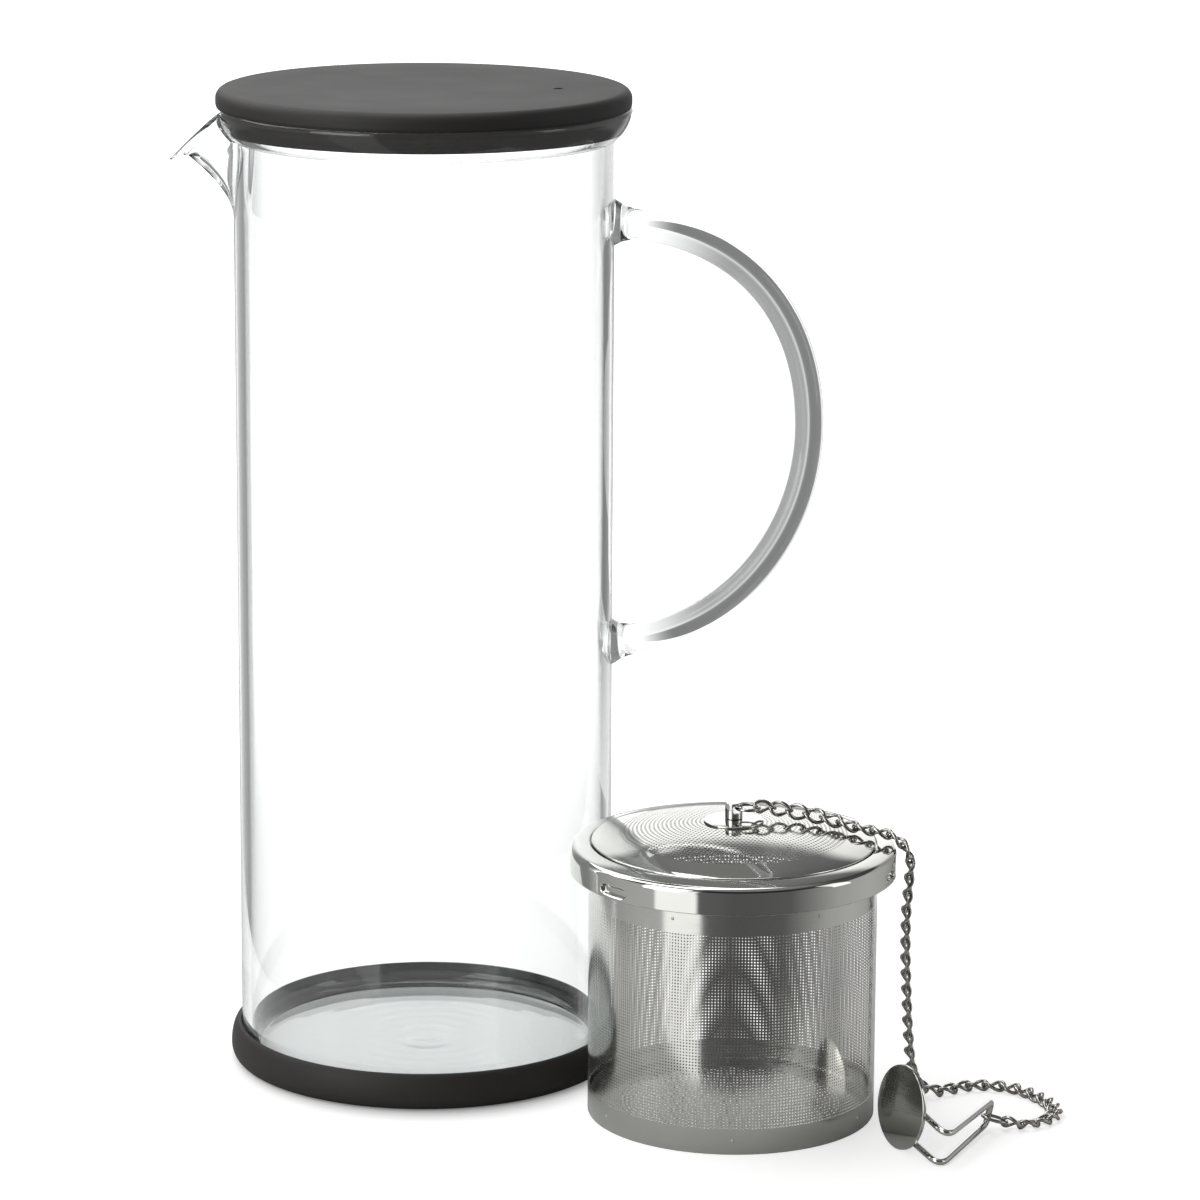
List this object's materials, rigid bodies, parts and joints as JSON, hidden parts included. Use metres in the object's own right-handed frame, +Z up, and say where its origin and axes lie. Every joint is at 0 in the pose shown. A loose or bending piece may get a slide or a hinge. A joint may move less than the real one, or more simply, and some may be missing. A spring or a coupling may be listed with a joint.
{
  "type": "infusion pitcher",
  "caption": "Tall glass pitcher with pulled spout, loop handle, plug lid and soft foot ring, beside its perforated steel leaf infuser with bayonet lid, chain and rim hook.",
  "frame": {"origin": "on the table, under the middle of the box round the pitcher and the infuser without its chain and hook", "axes": "+Z up along the pitcher's axis, +X towards the handle and away from the spout, -Y towards the viewer of the picture"},
  "size_m": [0.2248, 0.1428, 0.2528],
  "materials": {
    "glass": "clear blown borosilicate",
    "silicone": "matt charcoal silicone",
    "lid": "fine matt charcoal moulding",
    "steel": "satin stainless sheet and wire",
    "chain": "polished stainless wire links"
  },
  "bodies": {
    "pitcher": {"glass_body": "glass", "handle": "glass", "base_ring": "silicone"},
    "pitcher_lid": {"pitcher_lid": "lid"},
    "infuser_basket": {"basket_wall": "steel", "basket_floor": "steel", "basket_rim": "steel"},
    "infuser_lid": {"infuser_lid_ring": "steel", "infuser_lid_screen": "steel", "lid_washer": "steel", "lid_stud": "steel", "jump_ring": "chain", "chain_link_01": "chain", "chain_link_02": "chain", "chain_link_03": "chain", "chain_link_04": "chain", "chain_link_05": "chain", "chain_link_06": "chain", "chain_link_07": "chain", "chain_link_08": "chain", "chain_link_09": "chain", "chain_link_10": "chain", "chain_link_11": "chain", "chain_link_12": "chain", "chain_link_13": "chain", "chain_link_14": "chain", "chain_link_15": "chain", "chain_link_16": "chain", "chain_link_17": "chain", "chain_link_18": "chain", "chain_link_19": "chain", "chain_link_20": "chain", "chain_link_21": "chain", "chain_link_22": "chain", "chain_link_23": "chain", "chain_link_24": "chain", "chain_link_25": "chain", "chain_link_26": "chain", "chain_link_27": "chain", "chain_link_28": "chain", "chain_link_29": "chain", "chain_link_30": "chain", "chain_link_31": "chain", "chain_link_32": "chain", "chain_link_33": "chain", "chain_link_34": "chain", "chain_link_35": "chain", "chain_link_36": "chain", "chain_link_37": "chain", "chain_link_38": "chain", "chain_link_39": "chain", "chain_link_40": "chain", "chain_end_ring": "chain"},
    "hook": {"hook_wire": "steel", "hook_disc": "steel"}
  },
  "joints": [
    {"name": "pitcher_lid_lift", "type": "slide", "parent": "pitcher", "child": "pitcher_lid", "axis": [0, 0, 1], "range_m": [0, 0.06]},
    {"name": "infuser_lift", "type": "slide", "parent": "pitcher", "child": "infuser_basket", "axis": [0, 0, 1], "range_m": [0, 0.08]},
    {"name": "infuser_lid_lift", "type": "slide", "parent": "infuser_basket", "child": "infuser_lid", "axis": [0, 0, 1], "range_m": [0, 0.06]},
    {"name": "hook_swing", "type": "hinge", "parent": "infuser_lid", "child": "hook", "pos_m": [0.11425, -0.04559, 0.00475], "axis": [0, 0, 1], "range_deg": [0, 60]}
  ]
}
